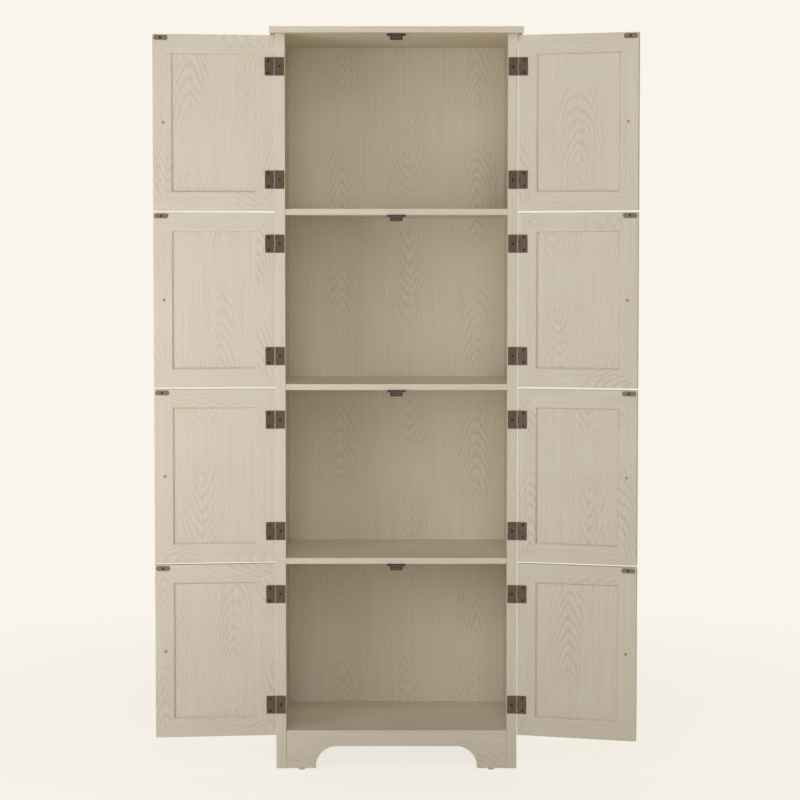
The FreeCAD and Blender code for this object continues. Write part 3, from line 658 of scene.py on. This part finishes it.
def mark_barrels(form):
    """Set the faces of the hinge barrels apart for their paler colour, a painted highlight."""
    axes = {tuple(joint["pos_m"][:2]) for joint in frame["joints"]}
    for face in form.faces:
        spot = face.calc_center_median().xy
        face.material_index = int(any(math.dist(spot, axis) < BARREL_REACH for axis in axes))
    return form


def head_rank(face):
    """Order of the faces of a fastener: its largest, or of two like ends the lower or inner one."""
    middle = face.calc_center_median()
    return round(face.calc_area() / MM ** 2), -abs(middle.x) - middle.z


def head_place(solid, turn, facing=None):
    """Where the head of a fastener lies and which way it faces, with its recess turned.

    A round head has no large flat face, so the way that it faces is given.
    """
    if facing:
        points = [Vector(point) for point in solid[0]]
        reach = max(facing.dot(point) for point in points) - CROWN_DEPTH
        rim = [point for point in points if facing.dot(point) > reach]
        middle = sum(rim, Vector()) / len(rim)
    else:
        form = form_of([solid])
        crown = max(form.faces, key=head_rank)
        facing, middle = crown.normal.copy(), crown.calc_center_median()
        form.free()
    upright = facing.to_track_quat("Z", "Y").to_matrix().to_4x4()
    return Matrix.Translation(middle) @ upright @ Matrix.Rotation(turn, 4, "Z")


def turn_fastener(form, place, rings, recess):
    """Add a turned fastener whose crown has a cross recess."""
    loops = []
    for radius, height in rings:
        corners = [math.tau * step / HEAD_STEPS for step in range(HEAD_STEPS)]
        points = [Vector((radius * math.cos(a), radius * math.sin(a), height)) * MM for a in corners]
        loops.append([form.verts.new(place @ point) for point in points])
    for upper, lower in zip(loops, loops[1:]):
        for i in range(HEAD_STEPS):
            form.faces.new((upper[i - 1], lower[i - 1], lower[i], upper[i]))
    form.faces.new(loops[-1][::-1])
    reach, half_width, depth = recess
    rim, floor = [], []
    for quarter in range(4):
        spin = Matrix.Rotation(quarter * math.tau / 4, 4, "Z")
        for x, y in ((reach, -half_width), (reach, half_width), (half_width, half_width)):
            mouth = Vector((x, y, 0)) * MM
            foot = Vector((RECESS_TAPER * x, RECESS_TAPER * y, -depth)) * MM
            rim.append(form.verts.new(place @ spin @ mouth))
            floor.append(form.verts.new(place @ spin @ foot))
    for i in range(len(rim)):
        form.faces.new((rim[i - 1], rim[i], floor[i], floor[i - 1]))
    form.faces.new(floor)
    eighth = HEAD_STEPS // 8
    for quarter in range(4):
        first = 2 * eighth * quarter
        outer = [loops[0][(first + step) % HEAD_STEPS] for step in range(-eighth, eighth + 1)]
        inner = [rim[3 * quarter + step] for step in (2, 1, 0, -1)]
        form.faces.new(outer + inner)
    bmesh.ops.recalc_face_normals(form, faces=form.faces)


def fasteners(solids, rings, recess, seed=0, facing=None):
    """A form of all these fasteners, each with its recess where the driver happened to leave it."""
    form = bmesh.new()
    for number, solid in enumerate(solids):
        turn = math.tau * (GOLDEN * (number + seed) % 1)
        turn_fastener(form, head_place(solid, turn, facing), rings, recess)
    return form


class CABINET_OT_carcass_boards(bpy.types.Operator):
    """Top, sides, front stiles, shelves, bottom, apron and back in whitewashed oak"""

    bl_idname = "cabinet.carcass_boards"
    bl_label = "Carcass boards"

    def execute(self, context):
        making = making_of_scene()
        oak = material(embossed_oak_laminate)
        for seed, node in enumerate(BOARDS):
            form = round_edges(form_of(solids_of(node)), making.board_edge)
            piece_from(lay_grain(form, CARCASS, seed), f"{node}_board", oak, CARCASS, [node])
        form = form_of(solids_of("back_panel"))
        lay_grain(form, CARCASS, len(BOARDS), -making.back_leaf_shift)
        for face in form.faces:
            face.material_index = 1 if face.normal.y > 0.5 else 0
        back = piece_from(form, "back_panel_board", oak, CARCASS, ["back_panel"])
        back.data.materials.append(material(bare_hardboard))
        return {"FINISHED"}


class CABINET_OT_doors(bpy.types.Operator):
    """Mitred frames and thin panels of the eight doors"""

    bl_idname = "cabinet.doors"
    bl_label = "Doors"

    def execute(self, context):
        making = making_of_scene()
        oak = material(embossed_oak_laminate)
        for number, door in enumerate(DOORS):
            node = f"{door}_frame"
            form = round_edges(form_of(solids_of(node)), making.door_edge, mitre_of(door))
            lay_grain(form, door, FRAME_SEEDS[0] + FRAME_SEEDS[1] * number)
            piece_from(form, f"{node}_members", oak, door, [node])
            node = f"{door}_panel"
            lean = making.leaf_width * PANEL_LEAN * (GOLDEN * number % 1 - 0.5)
            seed = PANEL_SEEDS[0] + PANEL_SEEDS[1] * number
            form = lay_grain(form_of(solids_of(node)), door, seed, lean)
            piece_from(form, f"{node}_board", oak, door, [node])
        return {"FINISHED"}


class CABINET_OT_hinges(bpy.types.Operator):
    """Hinge leaves, pins and screws on the stiles and the doors"""

    bl_idname = "cabinet.hinges"
    bl_label = "Hinges"

    def execute(self, context):
        edge = making_of_scene().metal_edge
        bronze = material(bronze_plated_steel)
        black = material(blackened_steel)
        give_finish("hinge_pins", bronze)
        node = "hinge_frame_leaves"
        form = mark_barrels(round_edges(form_of(solids_of(node)), edge))
        leaves = [piece_from(form, f"{node}_stamped", bronze, CARCASS, [node])]
        node = "hinge_frame_screws"
        form = fasteners(solids_of(node), SCREW_RINGS, SCREW_RECESS)
        piece_from(form, f"{node}_driven", black, CARCASS, [node])
        for number, door in enumerate(DOORS):
            node = f"{door}_hinge_leaves"
            solids = solids_of(node)
            form = mark_barrels(round_edges(form_of([s for s in solids if not is_fastener(s)]), edge))
            leaves.append(piece_from(form, f"{node}_stamped", bronze, door, [node]))
            form = fasteners([s for s in solids if is_fastener(s)], SCREW_RINGS, SCREW_RECESS, 3 * number)
            piece_from(form, f"{door}_hinge_screws", black, door)
        # The barrels take the paler bronze of a painted highlight
        for piece in leaves:
            piece.data.materials.append(material(burnished_bronze_plating))
        return {"FINISHED"}


class CABINET_OT_strikes(bpy.types.Operator):
    """Strike plates of the magnetic catches, each with its screw"""

    bl_idname = "cabinet.strikes"
    bl_label = "Strike plates"

    def execute(self, context):
        edge = making_of_scene().metal_edge
        plated = material(dull_plated_steel)
        black = material(blackened_steel)
        for number, door in enumerate(DOORS):
            node = f"{door}_strike_plate"
            solids = solids_of(node)
            form = round_edges(form_of([s for s in solids if not is_fastener(s)]), edge)
            piece_from(form, f"{node}_stamped", plated, door, [node])
            form = fasteners([s for s in solids if is_fastener(s)], SCREW_RINGS, SCREW_RECESS, 5 * number)
            piece_from(form, f"{door}_strike_screw", black, door)
        return {"FINISHED"}


class CABINET_OT_knobs(bpy.types.Operator):
    """Knobs on the outer faces of the doors and their bolts"""

    bl_idname = "cabinet.knobs"
    bl_label = "Knobs"

    def execute(self, context):
        bronze = material(bronze_plated_steel)
        brass = material(tarnished_brass)
        for number, door in enumerate(DOORS):
            node = f"{door}_knob"
            solids = solids_of(node)
            form = form_of([s for s in solids if not is_fastener(s)])
            piece_from(form, f"{node}_turned", bronze, door, [node])
            inwards = closed_turn(door).to_3x3().inverted() @ Vector((0, 1, 0))
            bolts = [s for s in solids if is_fastener(s)]
            form = fasteners(bolts, BOLT_RINGS, BOLT_RECESS, 7 * number, inwards)
            piece_from(form, f"{door}_knob_bolt", brass, door)
        return {"FINISHED"}


class CABINET_OT_catches(bpy.types.Operator):
    """Magnetic catches under the top and the shelves"""

    bl_idname = "cabinet.catches"
    bl_label = "Magnetic catches"

    def execute(self, context):
        plastic = material(moulded_brown_abs)
        node = "catch_housings"
        form = round_edges(form_of(solids_of(node)), making_of_scene().metal_edge)
        piece_from(form, f"{node}_moulded", plastic, CARCASS, [node])
        node = "catch_screws"
        form = fasteners(solids_of(node), SCREW_RINGS, SCREW_RECESS)
        black = material(blackened_steel)
        piece_from(form, f"{node}_driven", black, CARCASS, [node])
        give_finish("catch_pole_plates", material(oiled_steel))
        give_finish("catch_magnets", material(sintered_ferrite))
        return {"FINISHED"}


class CABINET_OT_fittings(bpy.types.Operator):
    """Cam locks of the carcass joints and the floor glides"""

    bl_idname = "cabinet.fittings"
    bl_label = "Cam locks and glides"

    def execute(self, context):
        zinc = material(cast_zinc)
        solids = solids_of("cam_fittings")
        locks = [solid for solid in solids if is_cam_lock(solid)]
        form = fasteners(locks, CAM_RINGS, CAM_RECESS)
        piece_from(form, "cam_locks_cast", zinc, CARCASS, ["cam_fittings"])
        form = form_of([solid for solid in solids if not is_cam_lock(solid)])
        piece_from(form, "cam_bolts_turned", zinc, CARCASS)
        give_finish("floor_glides", material(moulded_polyethylene))
        return {"FINISHED"}


class CABINET_OT_stage(bpy.types.Operator):
    """Pale floor and background, soft boxes and the camera"""

    bl_idname = "cabinet.stage"
    bl_label = "Stage"

    def execute(self, context):
        studio = context.scene.cabinet_studio
        context.scene.view_settings.view_transform = "Standard"
        make_world(context.scene, studio)
        make_floor(context.scene, studio)
        for name in SOFT_BOXES:
            make_soft_box(context.scene, name, studio)
        make_camera(context.scene, studio)
        return {"FINISHED"}


FLOOR_REACH = 30.0
# The object's shadow shows with this share on the floor, up to the near distance, and ends at the far one
SHADOW_SHARE = 0.15
SHADOW_NEAR, SHADOW_FAR = 0.6, 2.4
# How far behind the cabinet the rear light starts and is full, as the Y part of its direction
REAR_LIGHT_RISE = (-0.1, 0.3)
LIT_MIDDLE = Vector((0, -0.35, 0.95))
# Bearing from the front, + to the right, and height in degrees, distance, width and length in metres
SOFT_BOXES = {
    "front_box": (0, 28, 4.0, 2.0, 5.0),
    "left_box": (-45, 0, 1.8, 0.7, 0.7),
}


def seen_directly(tree):
    """1 for a ray from the camera or through a mirror or glass, else 0."""
    path = add(tree, "LightPath", out="Is Camera Ray")
    rays = path.node.outputs
    seen = add(tree, "Math", {0: path, 1: rays["Is Glossy Ray"]}, operation="MAXIMUM")
    return add(tree, "Math", {0: seen, 1: rays["Is Transmission Ray"]}, operation="MAXIMUM")


def make_world(scene, studio):
    """Even light from behind the cabinet, with the background's colour where it is seen directly."""
    world = bpy.data.worlds.new("studio")
    world.use_nodes = True
    tree = world.node_tree
    tree.nodes.remove(tree.nodes["Background"])
    sight = add(tree, "TexCoord", out="Generated")
    rear = add(tree, "SeparateXYZ", {0: sight}, "Y")
    first, full = REAR_LIGHT_RISE
    strength = add(tree, "MapRange", {0: rear, 1: first, 2: full, 3: 0, 4: studio.rear_light})
    light = add(tree, "Background", {"Color": (1, 1, 1, 1), "Strength": strength})
    shown = add(tree, "Background", {"Color": opaque(studio.background), "Strength": 1})
    mixed = add(tree, "MixShader", {0: seen_directly(tree), 1: light, 2: shown})
    tree.links.new(mixed, tree.nodes["World Output"].inputs["Surface"])
    scene.world = world


def floor_paint(name, studio):
    """Matt paint of the studio floor: the background's colour, with the object's shadow kept near it."""
    paint, tree, shader = new_material(name, Roughness=0.9)
    shader.inputs["Base Color"].default_value = opaque(studio.background)
    place = add(tree, "TexCoord", out="Object")
    distance = add(tree, "VectorMath", {0: place}, "Value", operation="LENGTH")
    backdrop = add(
        tree, "MapRange", {0: distance, 1: SHADOW_NEAR, 2: SHADOW_FAR, 3: 1 - SHADOW_SHARE, 4: 1}
    )
    share = add(tree, "Math", {0: backdrop, 1: seen_directly(tree)}, operation="MULTIPLY")
    glow = add(tree, "Emission", {"Color": opaque(studio.background), "Strength": 1})
    mixed = add(tree, "MixShader", {0: share, 1: shader.outputs[0], 2: glow})
    tree.links.new(mixed, tree.nodes["Material Output"].inputs["Surface"])
    return paint


def make_floor(scene, studio):
    """A round floor, wide enough to hide its rim."""
    form = bmesh.new()
    bmesh.ops.create_circle(form, cap_ends=True, radius=FLOOR_REACH, segments=64)
    mesh = bpy.data.meshes.new("studio_floor")
    form.to_mesh(mesh)
    form.free()
    mesh.materials.append(floor_paint("floor_paint", studio))
    floor = bpy.data.objects.new("studio_floor", mesh)
    scene.collection.objects.link(floor)


def make_soft_box(scene, name, studio):
    """A soft box aimed at the middle of the cabinet, which the camera doesn't see.

    The tall one isn't mirrored either, so that flat metal shows the pale background in its place.
    """
    bearing, height, distance, width, length = SOFT_BOXES[name]
    lamp = bpy.data.lights.new(name, "AREA")
    lamp.energy = getattr(studio, name)
    lamp.color = studio.lamp
    lamp.shape = "RECTANGLE"
    lamp.size = width
    lamp.size_y = length
    box = bpy.data.objects.new(name, lamp)
    across, up = math.radians(bearing), math.radians(height)
    sight = Vector((math.sin(across) * math.cos(up), -math.cos(across) * math.cos(up), math.sin(up)))
    box.location = LIT_MIDDLE + distance * sight
    box.rotation_euler = sight.to_track_quat("Z", "Y").to_euler()
    box.visible_camera = False
    box.visible_glossy = name != "front_box"
    scene.collection.objects.link(box)


def make_camera(scene, studio):
    """A long lens in front of the cabinet, a little above its middle."""
    lens = bpy.data.cameras.new("camera")
    lens.lens = studio.lens
    lens.shift_y = studio.lens_shift
    camera = bpy.data.objects.new("camera", lens)
    camera.location = studio.camera_place
    camera.rotation_euler = (math.tau / 4 - studio.camera_tilt, 0, 0)
    scene.collection.objects.link(camera)
    scene.camera = camera


OPERATORS = (
    CABINET_OT_carcass_boards,
    CABINET_OT_doors,
    CABINET_OT_hinges,
    CABINET_OT_strikes,
    CABINET_OT_knobs,
    CABINET_OT_catches,
    CABINET_OT_fittings,
    CABINET_OT_stage,
)


class CABINET_PT_cabinet(bpy.types.Panel):
    """The steps that finish the cabinet, in order"""

    bl_idname = "CABINET_PT_cabinet"
    bl_label = "Storage cabinet"
    bl_space_type = "VIEW_3D"
    bl_region_type = "UI"
    bl_category = "Cabinet"

    def draw(self, context):
        for operator in OPERATORS:
            self.layout.operator(operator.bl_idname)


SETTINGS = {
    "cabinet_finish": CabinetFinish,
    "cabinet_making": CabinetMaking,
    "cabinet_studio": CabinetStudio,
}
CLASSES = (*SETTINGS.values(), *OPERATORS, CABINET_PT_cabinet)


def register():
    """Make the settings, the operators and the panel known."""
    for cls in CLASSES:
        bpy.utils.register_class(cls)
    for name, settings in SETTINGS.items():
        setattr(bpy.types.Scene, name, PointerProperty(type=settings))


def unregister():
    """Take the settings, the operators and the panel away again."""
    for name in SETTINGS:
        delattr(bpy.types.Scene, name)
    for cls in reversed(CLASSES):
        bpy.utils.unregister_class(cls)


def main():
    """Finish the cabinet and set the stage."""
    register()
    bpy.ops.cabinet.carcass_boards()
    bpy.ops.cabinet.doors()
    bpy.ops.cabinet.hinges()
    bpy.ops.cabinet.strikes()
    bpy.ops.cabinet.knobs()
    bpy.ops.cabinet.catches()
    bpy.ops.cabinet.fittings()
    bpy.ops.cabinet.stage()


if __name__ == "__main__":
    main()
